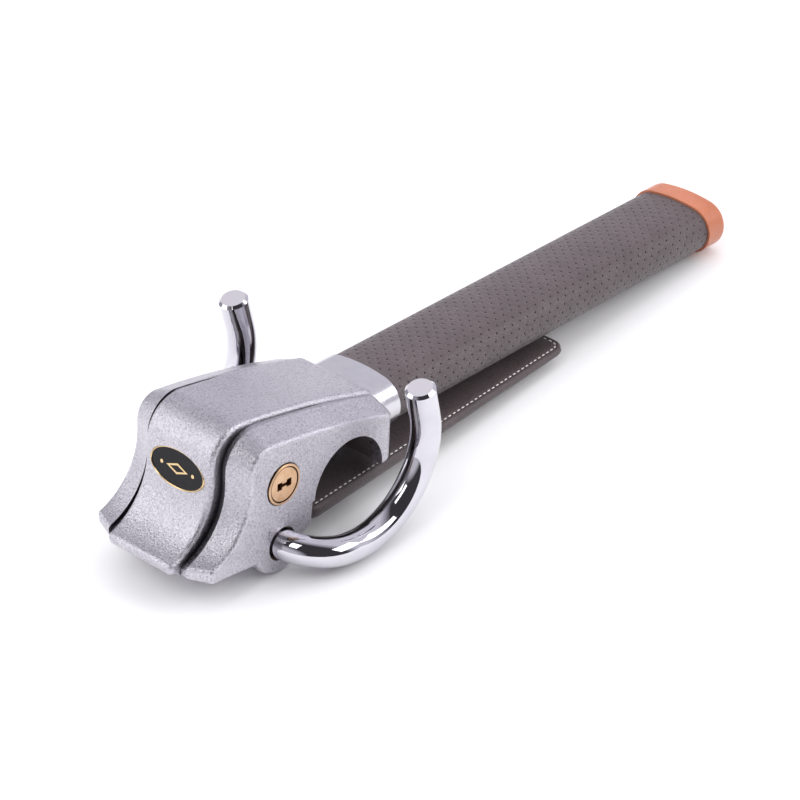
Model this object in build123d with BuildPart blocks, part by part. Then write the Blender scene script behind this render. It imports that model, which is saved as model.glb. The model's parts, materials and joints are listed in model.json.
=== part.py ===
from build123d import *
import os
from math import asin, atan2, cos, degrees, hypot, pi, radians, sin, sqrt, tan

# Steering wheel lock: a cast head that sits over the wheel rim, two hooks on a cross
# shaft that close round the rim, a key cylinder, a soft pad and a padded flat handle.
#
# Every piece is drawn with the handle level: X runs along the handle away from the head,
# Z is up and the handle's centre line is y = 0, z = 0.  x = 0 is where the leather starts.
# The last function tips the whole lock onto the two places that it rests on.

# ---- driving dimensions, in millimetres and degrees ----

head_half_width = 35.0          # side faces of the head
shoulder_half_width = 23.5      # where the sloping shoulders meet the middle
panel_half_width = 21.8         # raised panel on the top
lip_half_width = 19.4           # the same panel at the front lip
top_slope = 13.2                # fall of the head's crowned top towards the handle, where
top_reference_x = -50.0         # the three top heights below are given
top_crown_radius = 437.0
lip_angle = 14.0                # how far the front flare stops short of level
lip_radius = 2.2
flare_radius = 32.0             # hollow curve of the front

cheek_thickness = 6.0           # side walls of the rim seat
seat_x = -47.0                  # centre of the rim seat
seat_z = -14.5
seat_radius = 22.4              # the seat's edge in the cheeks
liner_thickness = 2.7
lug_bottom_z = -15.0            # lower end of the rear lugs

boss_x = -91.0                  # rounded lower lobe of the head
boss_z = -26.0
boss_radius = 15.0
underside_z = -31.0             # underside of the head in front of the boss
cover_seat_z = -27.8            # split between the head and its bottom cover
cover_half_width = 24.0
cover_front_x = -118.0
cover_hook_y = 14.8             # two hooks hold the cover's rear edge
cover_hook_width = 3.4
cover_hook_thickness = 1.2
cover_hook_top_z = -21.8
cover_hook_height = 2.0
cover_hook_reach = 1.2

shaft_x = -90.0                 # axis on which the hooks turn
shaft_z = -26.4
hook_bar_radius = 7.0
hook_hole_radius = 8.2
hook_exit_y = 34.0              # where the bar starts to bend
hook_side_radius = 21.0         # bend from across to along
hook_dip = 8.0                  # downward slope after that bend
hook_run = 3.8                  # short straight between the bends
hook_rise_end = (-22.3, 56.2, 19.6)     # the round bend ends here, on the far side
hook_end_run = 16.4
tip_chamfer = 1.3

hub_radius = 11.0               # notched locking hub pinned on the shaft
hub_half_length = 11.5
hub_clearance = 0.4
hub_pin_y = 7.5
hub_pin_radius = 2.0
bush_inner_y = 12.6
bush_outer_y = 30.0
bush_flange_radius = 9.8
notch_depth = 3.2
notch_width = 8.4
hook_travel = 110.0             # swing from closed to open

cavity_half_length = 11.4       # pocket for the lock work, along X
cavity_half_width = 17.0
cavity_top_z = 20.0

key_z = 4.3                     # axis of the key cylinder
plug_face_radius = 8.4
plug_radius = 6.5
barrel_radius = 9.0
flange_radius = 10.0
cylinder_face_y = -35.7
flange_seat_y = 34.0
flange_gap = 0.3
face_chamfer = 0.4
barrel_end_y = -12.0
barrel_groove_radius = 8.0
barrel_clip_y = -15.7
clip_thickness = 0.9
plug_shoulder_y = -32.7
plug_end_y = -10.4
plug_groove_radius = 5.8
plug_clip_y = -11.0
tail_size = 6.0
tail_end_y = -8.4
disc_count = 6
disc_pitch = 2.4
disc_radius = 5.2
disc_pack_y = -14.5
cam_radius = 7.2
cam_thickness = 3.2
cam_face_y = -7.0
cam_screw_radius = 1.2
cam_screw_length = 4.0
pin_orbit = 4.24                # radius of the cam pin's path
pin_radius = 2.0
bolt_travel = 6.0               # draw of the bolt for a quarter turn of the key
bolt_half_thickness = 3.9
bolt_width = 16.0
bolt_bottom_z = -9.4            # bolt drawn back, without its tooth
bolt_height = 21.7
tooth_length = 3.0
web_half_width = 6.5            # web with the bolt's guide slot
web_bottom_z = -9.0
web_top_z = -1.2
running_gap = 0.05              # radial clearance of turning fits

screw_radius = 1.5              # M3 screws
screw_head_radius = 2.75
screw_head_height = 1.6
cover_screw_x = -111.0
cover_screw_spacing = 30.0
cover_screw_head_z = -28.6
cover_screw_length = 9.0
bracket_screw_z = -18.3
bracket_screw_spacing = 22.0
bracket_screw_depth = 5.0
handle_pin_x = 4.0
handle_pin_spacing = 15.6
handle_pin_radius = 2.5

grip_half_width = 23.2          # flat oval handle, outside of the leather
grip_half_height = 12.4
crown_radius = 80.0             # slight crown of its top and bottom
leather_thickness = 1.3
tube_half_width = 19.0
tube_half_height = 8.2
tube_wall = 2.0
handle_length = 240.0           # tube, foam and leather end here
cap_start_x = 236.0
cap_end_x = 251.0
cap_overhang = 1.1
cap_rounding = 4.0
collar_overhang = 1.0
head_rear_x = -16.0             # rear face of the head
rear_top_radius = 7.0
rear_corner_radius = 7.0
side_edge_radius = 2.0
panel_edge_radius = 2.5
channel_full_x = -98.0          # the channel keeps its width ahead of here
channel_end_x = -44.0           # and tapers to nothing here
spigot_length = 34.0            # cast tongue inside the tube
plug_length = 16.0              # plug in the far end of the tube

pad_hinge_x = -66.0             # rod on which the soft pad hangs
pad_hinge_z = -24.1
pad_thickness = 7.5
pad_root_half_width = 32.4
pad_end_half_width = 26.8
pad_length = 186.0              # hinge rod to far end
pad_end_thickness = 4.6
pad_rise = 2.0                  # upward slope of the pad
pad_corner = 8.0
pad_leather_thickness = 1.2
rod_radius = 1.5
rod_half_length = 26.0
ear_y = 20.0                    # two ears of the bracket carry the rod
ear_thickness = 3.0
ear_radius = 3.0
ear_gap = 0.5
cover_rod_gap = 0.4
bracket_top_z = -15.4
bracket_height = 10.8
bracket_thickness = 1.5

badge_half_width = 16.2
badge_half_height = 9.2
badge_lean = 7.5
badge_depth = 1.6
bezel_width = 0.8
bezel_height = 0.9
bezel_chamfer = 0.25
plate_height = 0.4

# ---- sizes worked out from those ----

drop_per_mm = tan(radians(top_slope))
spigot_half_width = tube_half_width - tube_wall - 0.1
spigot_half_height = tube_half_height - tube_wall - 0.1
inner_seat_radius = seat_radius + 0.5 + liner_thickness
cheek_inner_y = head_half_width - cheek_thickness
bracket_wall_x = seat_x - inner_seat_radius
cavity_rear_x = shaft_x + cavity_half_length
liner_half_length = cheek_inner_y - 0.05
badge_plane = Plane(
    origin=(-119.2, 0, 9.8),
    x_dir=(sin(radians(badge_lean)), 0, cos(radians(badge_lean))),
    z_dir=(-cos(radians(badge_lean)), 0, sin(radians(badge_lean))),
)
head_back_x = seat_x - seat_radius - 1.1
lip_front_x = -145.0


# Each level of the head has the same side outline, stepped out and up from the last:
# x of the upright front, height of the top at the reference, corner radius, centre height of
# the hollow flare, and depth of the lip.
side_level = (-109.8, 17.5, 10.0, 10.2, 7.0)
shoulder_level = (-114.4, 22.4, 16.0, 8.8, 6.0)
panel_level = (-119.6, 24.4, 17.0, 9.8, 5.0)
channel_level = (-112.6, 22.1, 16.0, 7.4, 9.0)    # floor of the channel beside the panel


def crowned_rise(x):
    """Height of the head's crowned top above its height at the reference."""
    ahead = top_reference_x - x
    return drop_per_mm * ahead - ahead**2 / (2 * top_crown_radius)


def head_section(level, plane):
    """Side outline of the head at one level, as a sketch on the given plane."""
    front_x, top_z, corner_radius, flare_z, lip_depth = level
    front_top = (front_x, top_z + crowned_rise(front_x))
    rear_top = (head_rear_x, top_z + crowned_rise(head_rear_x))
    flare_x = front_x - flare_radius
    flare_end = radians(lip_angle)
    flare_middle = radians((90 + lip_angle) / 2)
    lip_top = (flare_x + flare_radius * sin(flare_end), flare_z - flare_radius * cos(flare_end))
    lip_bottom = (lip_top[0] + 1.2, lip_top[1] - lip_depth)
    boss_front = (boss_x - sqrt(boss_radius**2 - (underside_z - boss_z) ** 2), underside_z)
    boss_rear = (boss_x + boss_radius * cos(radians(10)), boss_z - boss_radius * sin(radians(10)))
    with BuildSketch(plane) as section:
        with BuildLine():
            Polyline(
                boss_rear,
                (head_back_x, boss_z + 0.8),
                (head_back_x + 0.8, lug_bottom_z),
                (head_rear_x, lug_bottom_z),
                rear_top,
            )
            ThreePointArc(rear_top, (top_reference_x, top_z), front_top)
            Line(front_top, (front_x, flare_z))
            ThreePointArc(
                (front_x, flare_z),
                (flare_x + flare_radius * sin(flare_middle), flare_z - flare_radius * cos(flare_middle)),
                lip_top,
            )
            Polyline(lip_top, lip_bottom, boss_front)
            ThreePointArc(boss_front, (boss_x, boss_z - boss_radius), boss_rear)
        make_face()
        for corner, radius in ((front_top, corner_radius), (rear_top, rear_top_radius),
                               (lip_top, lip_radius), (lip_bottom, lip_radius)):
            fillet(section.vertices().sort_by_distance((*corner, 0))[0], radius)
    return section.sketch


def grip_section(inset, plane):
    """Flat oval handle section: two wide arcs and two tight ones that run smoothly on."""
    half_width = grip_half_width - inset
    half_height = grip_half_height - inset
    crown = crown_radius - inset
    end_radius = (crown**2 - half_width**2 - (crown - half_height) ** 2) / (2 * (crown - half_width))
    reach = crown - end_radius
    meet_x = crown * (half_width - end_radius) / reach
    meet_z = half_height - crown + crown * (crown - half_height) / reach
    with BuildSketch(plane) as section:
        with BuildLine():
            ThreePointArc((-meet_x, meet_z), (0, half_height), (meet_x, meet_z))
            ThreePointArc((meet_x, meet_z), (half_width, 0), (meet_x, -meet_z))
            ThreePointArc((meet_x, -meet_z), (0, -half_height), (-meet_x, -meet_z))
            ThreePointArc((-meet_x, -meet_z), (-half_width, 0), (-meet_x, meet_z))
        make_face()
    return section.sketch


# ---- head: one casting with the seat, the lock pocket and the tongue for the handle ----

with BuildPart() as raised_panel:
    extrude(head_section(panel_level, Plane.XZ.offset(-panel_half_width)), amount=2 * panel_half_width)
    with BuildSketch(Plane.XY.offset(boss_z - 20)):
        Polygon(
            (head_rear_x, panel_half_width), (lip_front_x, lip_half_width),
            (lip_front_x, -lip_half_width), (head_rear_x, -panel_half_width), align=None,
        )
    extrude(amount=100, mode=Mode.INTERSECT)
    panel_rims = raised_panel.faces().filter_by(lambda f: abs(f.normal_at().Y) > 0.9).edges()
    fillet(panel_rims.filter_by(lambda e: e.center().Z > boss_z and e.center().X < boss_x
                                or e.center().Z > 10), panel_edge_radius)

with BuildPart() as channels:
    with BuildSketch(Plane.XY.offset(boss_z - 20)):
        for side in (-1, 1):
            Polygon(
                (channel_end_x, side * (panel_half_width - 1)), (channel_full_x, side * shoulder_half_width),
                (lip_front_x - 5, side * shoulder_half_width), (lip_front_x - 5, side * (lip_half_width - 1)),
                align=None,
            )
    extrude(amount=100)
    extrude(head_section(channel_level, Plane.XZ.offset(-head_half_width)), amount=2 * head_half_width,
            mode=Mode.SUBTRACT)

with BuildPart() as head_housing:
    loft(
        [
            head_section(side_level, Plane.XZ.offset(head_half_width)),
            head_section(shoulder_level, Plane.XZ.offset(shoulder_half_width)),
            head_section(shoulder_level, Plane.XZ.offset(-shoulder_half_width)),
            head_section(side_level, Plane.XZ.offset(-head_half_width)),
        ],
        ruled=True,
    )
    with BuildSketch(Plane.XY.offset(boss_z - 20)) as plan:
        with Locations((head_rear_x, 0)):
            Rectangle(200, 2 * head_half_width, align=(Align.MAX, Align.CENTER))
        fillet(plan.vertices().group_by(Axis.X)[-1], rear_corner_radius)
    extrude(amount=100, mode=Mode.INTERSECT)
    fillet(head_housing.faces().filter_by(Axis.Y).edges(), side_edge_radius)
    add(channels.part, mode=Mode.SUBTRACT)
    add(raised_panel.part)
    # tongue that carries the handle tube
    with BuildSketch(Plane.YZ.offset(head_rear_x - 3)):
        RectangleRounded(2 * spigot_half_width, 2 * spigot_half_height, spigot_half_height - 0.1)
    extrude(amount=spigot_length + 3)
    # rim seat: through both cheeks, and wider between them for the liner
    for half_length, radius in ((head_half_width + 1, seat_radius), (cheek_inner_y, inner_seat_radius)):
        with BuildSketch(Plane.XZ.offset(-half_length)):
            with Locations((seat_x, seat_z)):
                Circle(radius)
                Rectangle(2 * radius, 30, align=(Align.CENTER, Align.MAX))
        extrude(amount=2 * half_length, mode=Mode.SUBTRACT)
    # pocket for the lock work, open at the bottom, crossed by the web that guides the bolt
    with BuildSketch(Plane.XY.offset(boss_z - boss_radius)):
        with Locations((shaft_x, 0)):
            Rectangle(2 * cavity_half_length, 2 * cavity_half_width)
    extrude(amount=cavity_top_z - boss_z + boss_radius, mode=Mode.SUBTRACT)
    with BuildSketch(Plane.XY.offset(web_bottom_z)):
        with Locations((shaft_x, 0)):
            Rectangle(2 * cavity_half_length + 2, 2 * web_half_width)
            Rectangle(bolt_width + 0.1, 2 * bolt_half_thickness + 0.1, mode=Mode.SUBTRACT)
    extrude(amount=web_top_z - web_bottom_z)
    # cross hole for the shaft and its bushes
    with BuildSketch(Plane.XZ.offset(-head_half_width - 1)):
        with Locations((shaft_x, shaft_z)):
            Circle(hook_hole_radius)
    extrude(amount=2 * head_half_width + 2, mode=Mode.SUBTRACT)
    # stepped hole for the key cylinder
    with BuildSketch(Plane.XZ.offset(cavity_half_width - 1)):
        with Locations((shaft_x, key_z)):
            Circle(barrel_radius)
    extrude(amount=head_half_width - cavity_half_width + 2, mode=Mode.SUBTRACT)
    with BuildSketch(Plane.XZ.offset(flange_seat_y)):
        with Locations((shaft_x, key_z)):
            Circle(flange_radius + flange_gap)
    extrude(amount=2, mode=Mode.SUBTRACT)
    # seat of the bottom cover, its two screw holes and the pockets for its hooks
    with BuildSketch(Plane.XY.offset(cover_seat_z)):
        with Locations((cover_front_x, 0)):
            Rectangle(80, 2 * cover_half_width, align=(Align.MIN, Align.CENTER))
    extrude(amount=-boss_radius, mode=Mode.SUBTRACT)
    with BuildSketch(Plane.XY.offset(cover_seat_z)):
        with Locations((cover_screw_x, 0)):
            with GridLocations(0, cover_screw_spacing, 1, 2):
                Circle(screw_radius)
    extrude(amount=cover_screw_length, mode=Mode.SUBTRACT)
    with BuildSketch(Plane.XY.offset(cover_hook_top_z)):
        with GridLocations(0, 2 * cover_hook_y, 1, 2):
            with Locations((cavity_rear_x, 0)):
                Rectangle(cover_hook_reach + 0.1, cover_hook_width + 0.2, align=(Align.MIN, Align.CENTER))
    extrude(amount=-cover_hook_height - 0.1, mode=Mode.SUBTRACT)
    # pocket for the badge, and holes for the pad bracket and the handle pins
    with BuildSketch(badge_plane.offset(-badge_depth)):
        Ellipse(badge_half_height, badge_half_width)
    extrude(amount=10, mode=Mode.SUBTRACT)
    with BuildSketch(Plane.YZ.offset(bracket_wall_x)):
        with Locations((0, bracket_screw_z)):
            with GridLocations(bracket_screw_spacing, 0, 2, 1):
                Circle(screw_radius)
    extrude(amount=-bracket_screw_depth, mode=Mode.SUBTRACT)
    with BuildSketch(Plane.XY.offset(-tube_half_height)):
        with Locations((handle_pin_x, 0)):
            with GridLocations(0, handle_pin_spacing, 1, 2):
                Circle(handle_pin_radius)
    extrude(amount=2 * tube_half_height, mode=Mode.SUBTRACT)

with BuildPart() as bottom_cover:
    extrude(head_section(shoulder_level, Plane.XZ.offset(-cover_half_width)), amount=2 * cover_half_width)
    with BuildSketch(Plane.XY.offset(cover_seat_z)):
        with Locations((cover_front_x, 0)):
            Rectangle(80, 2 * cover_half_width, align=(Align.MIN, Align.CENTER))
    extrude(amount=-boss_radius, mode=Mode.INTERSECT)
    with BuildSketch(Plane.XY.offset(cover_seat_z - 2)):
        with GridLocations(0, 2 * cover_hook_y, 1, 2):
            with Locations((cavity_rear_x, 0)):
                Rectangle(cover_hook_thickness, cover_hook_width, align=(Align.MAX, Align.CENTER))
    extrude(amount=cover_hook_top_z - cover_seat_z + 2)
    with BuildSketch(Plane.XY.offset(cover_hook_top_z)):
        with GridLocations(0, 2 * cover_hook_y, 1, 2):
            with Locations((cavity_rear_x, 0)):
                Rectangle(cover_hook_reach, cover_hook_width, align=(Align.MIN, Align.CENTER))
    extrude(amount=-cover_hook_height)
    for half_length, radius in ((bush_inner_y, hub_radius + hub_clearance),
                                (cavity_half_width, bush_flange_radius + 0.1),
                                (cover_half_width, hook_hole_radius)):
        with BuildSketch(Plane.XZ.offset(-half_length)):
            with Locations((shaft_x, shaft_z)):
                Circle(radius)
        extrude(amount=2 * half_length, mode=Mode.SUBTRACT)
    with Locations(Plane(origin=(cover_screw_x, 0, cover_screw_head_z), z_dir=(0, 0, -1))):
        with GridLocations(0, cover_screw_spacing, 1, 2):
            Cylinder(screw_radius, 20, mode=Mode.SUBTRACT)
            Cylinder(screw_head_radius + 0.1, 8, align=(Align.CENTER, Align.CENTER, Align.MIN),
                     mode=Mode.SUBTRACT)

with BuildPart() as cover_screws:
    with Locations(Plane(origin=(cover_screw_x, 0, cover_screw_head_z), z_dir=(0, 0, -1))):
        with GridLocations(0, cover_screw_spacing, 1, 2):
            Cylinder(screw_head_radius, screw_head_height, align=(Align.CENTER, Align.CENTER, Align.MIN))
            Cylinder(screw_radius, cover_screw_length + cover_seat_z - cover_screw_head_z,
                     align=(Align.CENTER, Align.CENTER, Align.MAX))
    with Locations(Plane(origin=(cover_screw_x, 0, cover_screw_head_z - screw_head_height), z_dir=(0, 0, -1))):
        with GridLocations(0, cover_screw_spacing, 1, 2):
            Box(0.8, 4.0, 1.6, mode=Mode.SUBTRACT)

# ---- badge: a bezel round a plate with a plain lozenge and two studs ----

with BuildPart() as badge_bezel:
    with BuildSketch(badge_plane.offset(-badge_depth)):
        Ellipse(badge_half_height, badge_half_width)
        Ellipse(badge_half_height - bezel_width, badge_half_width - bezel_width, mode=Mode.SUBTRACT)
    extrude(amount=badge_depth + bezel_height)
    chamfer(badge_bezel.faces().sort_by(Axis.X)[0].edges(), bezel_chamfer)

with BuildPart() as badge_plate:
    with BuildSketch(badge_plane.offset(-badge_depth)):
        Ellipse(badge_half_height - bezel_width, badge_half_width - bezel_width)
    extrude(amount=badge_depth + plate_height)

with BuildPart() as badge_inlay:
    with BuildSketch(badge_plane.offset(plate_height)):
        Polygon((-2.6, 0), (0, -6.5), (2.6, 0), (0, 6.5))
        Polygon((-1.6, 0), (0, -4.4), (1.6, 0), (0, 4.4), mode=Mode.SUBTRACT)
        with GridLocations(0, 18.6, 1, 2):
            Circle(0.9)
    extrude(amount=0.25)

# ---- hooks: two bent bars pinned into one notched hub on the cross shaft ----


def hook_bar(side):
    """Round bar bent from the cross shaft round to the rim, on the given side of the head."""
    dip = radians(hook_dip)
    bend_end = Vector(
        shaft_x + hook_side_radius * cos(dip),
        side * (hook_exit_y + hook_side_radius),
        shaft_z - hook_side_radius * sin(dip),
    )
    run_end = bend_end + Vector(cos(dip), 0, -sin(dip)) * hook_run
    with BuildPart() as bar:
        with BuildLine() as route:
            Line((shaft_x, side * 0.3, shaft_z), (shaft_x, side * hook_exit_y, shaft_z))
            TangentArc((shaft_x, side * hook_exit_y, shaft_z), bend_end, tangent=(0, side, 0))
            Line(bend_end, run_end)
            rise_end = Vector(hook_rise_end[0], side * hook_rise_end[1], hook_rise_end[2])
            rise = TangentArc(run_end, rise_end, tangent=run_end - bend_end)
            Line(rise_end, rise_end + (rise % 1) * hook_end_run)
        with BuildSketch(Plane(origin=(shaft_x, side * 0.3, shaft_z), z_dir=(0, side, 0))):
            Circle(hook_bar_radius)
        sweep(path=route.wire())
        chamfer(bar.faces().sort_by(Axis.Z)[-1].edges(), tip_chamfer)
        with Locations((shaft_x, side * hub_pin_y, shaft_z)):
            Cylinder(hub_pin_radius, 2 * hub_radius, mode=Mode.SUBTRACT)
    return bar


hook_near = hook_bar(-1)
hook_far = hook_bar(1)

with BuildPart() as locking_hub:
    with BuildSketch(Plane.XZ.offset(-hub_half_length)):
        with Locations((shaft_x, shaft_z)):
            Circle(hub_radius)
            Circle(hook_bar_radius, mode=Mode.SUBTRACT)
    extrude(amount=2 * hub_half_length)
    for turn in (0, -hook_travel):
        notch_plane = Plane(
            origin=(shaft_x, 0, shaft_z),
            x_dir=(cos(radians(turn)), 0, -sin(radians(turn))),
            z_dir=(sin(radians(turn)), 0, cos(radians(turn))),
        )
        with BuildSketch(notch_plane.offset(hub_radius - notch_depth)):
            Rectangle(notch_width, 2 * bolt_half_thickness + 0.8)
        extrude(amount=2 * notch_depth, mode=Mode.SUBTRACT)
    with Locations((shaft_x, hub_pin_y, shaft_z), (shaft_x, -hub_pin_y, shaft_z)):
        Cylinder(hub_pin_radius, 3 * hub_radius, mode=Mode.SUBTRACT)

with BuildPart() as hub_pins:
    with Locations((shaft_x, hub_pin_y, shaft_z), (shaft_x, -hub_pin_y, shaft_z)):
        Cylinder(hub_pin_radius, 2 * hub_radius - 1)


def shaft_bush(side):
    """Flanged bush in the wall of the head, recessed from the side face."""
    with BuildPart() as bush:
        for start, end, radius in ((bush_inner_y, cavity_half_width, bush_flange_radius),
                                   (cavity_half_width, bush_outer_y, hook_hole_radius)):
            with BuildSketch(Plane.XZ.offset(-side * start)):
                with Locations((shaft_x, shaft_z)):
                    Circle(radius)
                    Circle(hook_bar_radius + running_gap, mode=Mode.SUBTRACT)
            extrude(amount=-side * (end - start))
    return bush


shaft_bush_near = shaft_bush(-1)
shaft_bush_far = shaft_bush(1)

with BuildPart() as thrust_washers:
    for washer_y in (-bush_inner_y + 0.1, hub_half_length + 0.1):
        with BuildSketch(Plane.XZ.offset(-washer_y)):
            with Locations((shaft_x, shaft_z)):
                Circle(bush_flange_radius)
                Circle(hook_bar_radius + running_gap, mode=Mode.SUBTRACT)
        extrude(amount=-(bush_inner_y - hub_half_length - 0.2))

# ---- key cylinder: barrel, plug with its coding discs, cam and clips ----


def keyway():
    """H-shaped slot for the key, lying along the handle."""
    Rectangle(8.8, 1.7)
    with GridLocations(5.8, 0, 2, 1):
        Rectangle(3.0, 3.8)


def on_key_axis(y):
    """Plane across the key axis at the given y, looking out of the key side."""
    return Plane(origin=(shaft_x, y, key_z), x_dir=(1, 0, 0), z_dir=(0, -1, 0))


with BuildPart() as cylinder_barrel:
    with BuildSketch(on_key_axis(barrel_end_y)):
        Circle(barrel_radius)
    extrude(amount=barrel_end_y - cylinder_face_y)
    with BuildSketch(on_key_axis(-flange_seat_y)):
        Circle(flange_radius)
    extrude(amount=-flange_seat_y - cylinder_face_y)
    chamfer(cylinder_barrel.faces().sort_by(Axis.Y)[0].edges(), face_chamfer)
    with BuildSketch(on_key_axis(barrel_end_y)):
        Circle(plug_radius + running_gap)
    extrude(amount=30, mode=Mode.SUBTRACT)
    with BuildSketch(on_key_axis(plug_shoulder_y)):
        Circle(plug_face_radius + running_gap)
    extrude(amount=10, mode=Mode.SUBTRACT)
    with BuildSketch(on_key_axis(barrel_clip_y)):
        Circle(barrel_radius + 1)
        Circle(barrel_groove_radius, mode=Mode.SUBTRACT)
    extrude(amount=clip_thickness, mode=Mode.SUBTRACT)

with BuildPart() as barrel_clip:
    with BuildSketch(on_key_axis(barrel_clip_y)):
        Circle(barrel_groove_radius + 3.0)
        Circle(barrel_groove_radius, mode=Mode.SUBTRACT)
        with Locations((0, barrel_groove_radius + 1.5)):
            Rectangle(9, 7, mode=Mode.SUBTRACT)
    extrude(amount=clip_thickness)

with BuildPart() as lock_plug:
    with BuildSketch(on_key_axis(plug_end_y)):
        Circle(plug_radius)
    extrude(amount=plug_end_y - plug_shoulder_y)
    with BuildSketch(on_key_axis(plug_shoulder_y)):
        Circle(plug_face_radius)
    extrude(amount=plug_shoulder_y - cylinder_face_y - 0.2)
    chamfer(lock_plug.faces().sort_by(Axis.Y)[0].edges(), face_chamfer)
    with BuildSketch(on_key_axis(tail_end_y)):
        Rectangle(tail_size, tail_size)
    extrude(amount=tail_end_y - plug_end_y)
    with BuildSketch(on_key_axis(disc_pack_y)):
        Circle(disc_radius + 0.05)
    extrude(amount=disc_count * disc_pitch, mode=Mode.SUBTRACT)
    with BuildSketch(on_key_axis(disc_pack_y)):
        keyway()
    extrude(amount=30, mode=Mode.SUBTRACT)
    with BuildSketch(on_key_axis(plug_clip_y)):
        Circle(plug_radius + 1)
        Circle(plug_groove_radius, mode=Mode.SUBTRACT)
    extrude(amount=clip_thickness, mode=Mode.SUBTRACT)
    with BuildSketch(on_key_axis(tail_end_y)):
        Circle(cam_screw_radius)
    extrude(amount=cam_screw_length, mode=Mode.SUBTRACT)

with BuildPart() as plug_clip:
    with BuildSketch(on_key_axis(plug_clip_y)):
        Circle(plug_groove_radius + 2.4)
        Circle(plug_groove_radius, mode=Mode.SUBTRACT)
        with Locations((0, plug_groove_radius + 1.2)):
            Rectangle(7, 6, mode=Mode.SUBTRACT)
    extrude(amount=clip_thickness)

with BuildPart() as key_discs:
    for number in range(disc_count):
        with BuildSketch(on_key_axis(disc_pack_y - number * disc_pitch)):
            Circle(disc_radius)
            Rectangle(8.8, 3.8, mode=Mode.SUBTRACT)
        extrude(amount=disc_pitch - 0.2)

with BuildPart() as plug_cam:
    with BuildSketch(on_key_axis(cam_face_y)):
        Circle(cam_radius)
    extrude(amount=cam_thickness)
    with BuildSketch(on_key_axis(cam_face_y)):
        with Locations((pin_orbit * cos(pi / 4), pin_orbit * sin(pi / 4))):
            Circle(pin_radius)
    extrude(amount=-(bolt_half_thickness - 0.4 - cam_face_y))
    with BuildSketch(on_key_axis(tail_end_y)):
        Rectangle(tail_size, tail_size)
    extrude(amount=10, mode=Mode.SUBTRACT)
    with BuildSketch(on_key_axis(tail_end_y)):
        Circle(cam_screw_radius + 0.75)
    extrude(amount=-10, mode=Mode.SUBTRACT)

with BuildPart() as cam_screw:
    with BuildSketch(on_key_axis(tail_end_y)):
        Circle(cam_screw_radius + 0.7)
    extrude(amount=-(cam_face_y - tail_end_y))
    with BuildSketch(on_key_axis(tail_end_y)):
        Circle(cam_screw_radius)
    extrude(amount=cam_screw_length)
    with BuildSketch(on_key_axis(cam_face_y)):
        Rectangle(3.0, 0.6)
    extrude(amount=0.6, mode=Mode.SUBTRACT)

with BuildPart() as lock_bolt:
    with BuildSketch(Plane.XZ.offset(-bolt_half_thickness)):
        with Locations((shaft_x, bolt_bottom_z)):
            Rectangle(bolt_width, bolt_height, align=(Align.CENTER, Align.MIN))
            Rectangle(notch_width - 0.4, tooth_length, align=(Align.CENTER, Align.MAX))
        with Locations((shaft_x + pin_orbit - 0.6, key_z + bolt_travel / 2)):
            Rectangle(2 * pin_radius + 1.7, 2 * pin_radius + 0.4, mode=Mode.SUBTRACT)
    extrude(amount=2 * bolt_half_thickness)

# ---- rim seat liner, and the soft pad with its hinge rod and bracket ----

with BuildPart() as rim_liner:
    with BuildSketch(Plane.XZ.offset(-liner_half_length)):
        with Locations((seat_x, seat_z)):
            Circle(inner_seat_radius)
            Circle(seat_radius + 0.5, mode=Mode.SUBTRACT)
            Rectangle(3 * seat_radius, 2 * seat_radius, align=(Align.CENTER, Align.MAX), mode=Mode.SUBTRACT)
    extrude(amount=2 * liner_half_length)

with BuildPart() as pad_bracket:
    with BuildSketch(Plane.YZ.offset(bracket_wall_x)):
        with Locations((0, bracket_top_z)):
            Rectangle(2 * (ear_y + ear_thickness), bracket_height, align=(Align.CENTER, Align.MAX))
        with Locations((0, bracket_screw_z)):
            with GridLocations(bracket_screw_spacing, 0, 2, 1):
                Circle(screw_radius, mode=Mode.SUBTRACT)
    extrude(amount=bracket_thickness)
    for side in (-1, 1):
        with BuildSketch(Plane.XZ.offset(-side * ear_y + ear_thickness / 2)):
            with BuildLine():
                Polyline(
                    (pad_hinge_x, pad_hinge_z + ear_radius),
                    (bracket_wall_x + 0.5, pad_hinge_z + ear_radius),
                    (bracket_wall_x + 0.5, pad_hinge_z - ear_radius + 1),
                    (pad_hinge_x, pad_hinge_z - ear_radius),
                )
                ThreePointArc((pad_hinge_x, pad_hinge_z - ear_radius), (pad_hinge_x + ear_radius, pad_hinge_z),
                              (pad_hinge_x, pad_hinge_z + ear_radius))
            make_face()
            with Locations((pad_hinge_x, pad_hinge_z)):
                Circle(rod_radius, mode=Mode.SUBTRACT)
        extrude(amount=-ear_thickness)

with BuildPart() as bracket_screws:
    with BuildSketch(Plane.YZ.offset(bracket_wall_x + bracket_thickness)):
        with Locations((0, bracket_screw_z)):
            with GridLocations(bracket_screw_spacing, 0, 2, 1):
                Circle(screw_head_radius)
    extrude(amount=1.6)
    with BuildSketch(Plane.YZ.offset(bracket_wall_x + bracket_thickness)):
        with Locations((0, bracket_screw_z)):
            with GridLocations(bracket_screw_spacing, 0, 2, 1):
                Circle(screw_radius)
    extrude(amount=-bracket_screw_depth - bracket_thickness)

with BuildPart() as pad_rod:
    with BuildSketch(Plane.XZ.offset(-rod_half_length)):
        with Locations((pad_hinge_x, pad_hinge_z)):
            Circle(rod_radius)
    extrude(amount=2 * rod_half_length)


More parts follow.
